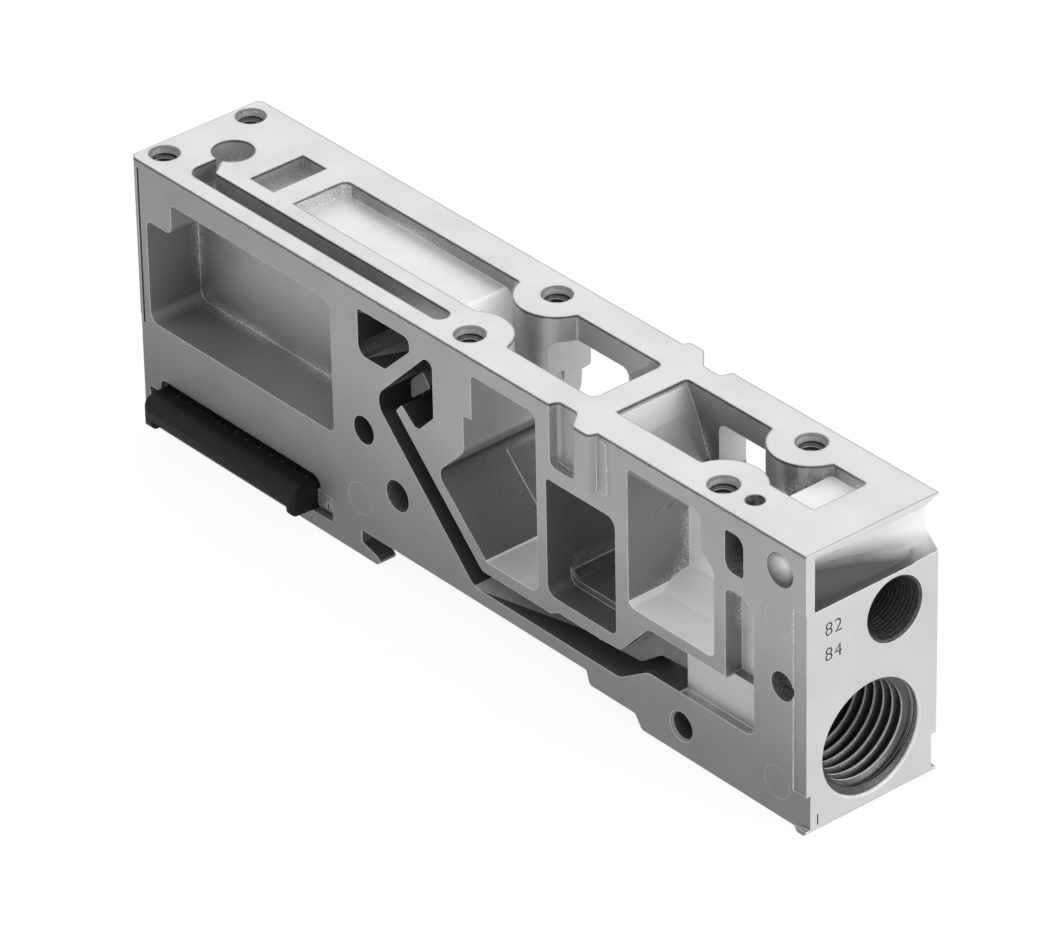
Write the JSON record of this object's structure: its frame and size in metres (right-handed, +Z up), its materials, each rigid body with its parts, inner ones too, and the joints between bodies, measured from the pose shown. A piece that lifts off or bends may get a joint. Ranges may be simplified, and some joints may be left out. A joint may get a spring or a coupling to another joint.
{
  "type": "air supply plate",
  "caption": "Narrow die-cast intermediate plate for a pneumatic valve row, with a threaded supply port, ducts and an electrical link plug.",
  "frame": {"origin": "middle of the underside of the whole part's bounding box", "axes": "+X along the plate to the end with the ports, +Y from the face with the link plug to the opposite side face, +Z up to the machined top face"},
  "size_m": [0.1072, 0.0216, 0.0335],
  "materials": {
    "cast_aluminium": "as cast with machined top and end faces",
    "link_plastic": "moulded black",
    "contact_metal": "plated"
  },
  "bodies": {
    "root": {"plate_casting": "cast_aluminium", "link_housing": "link_plastic", "link_contacts": "contact_metal"}
  },
  "joints": []
}
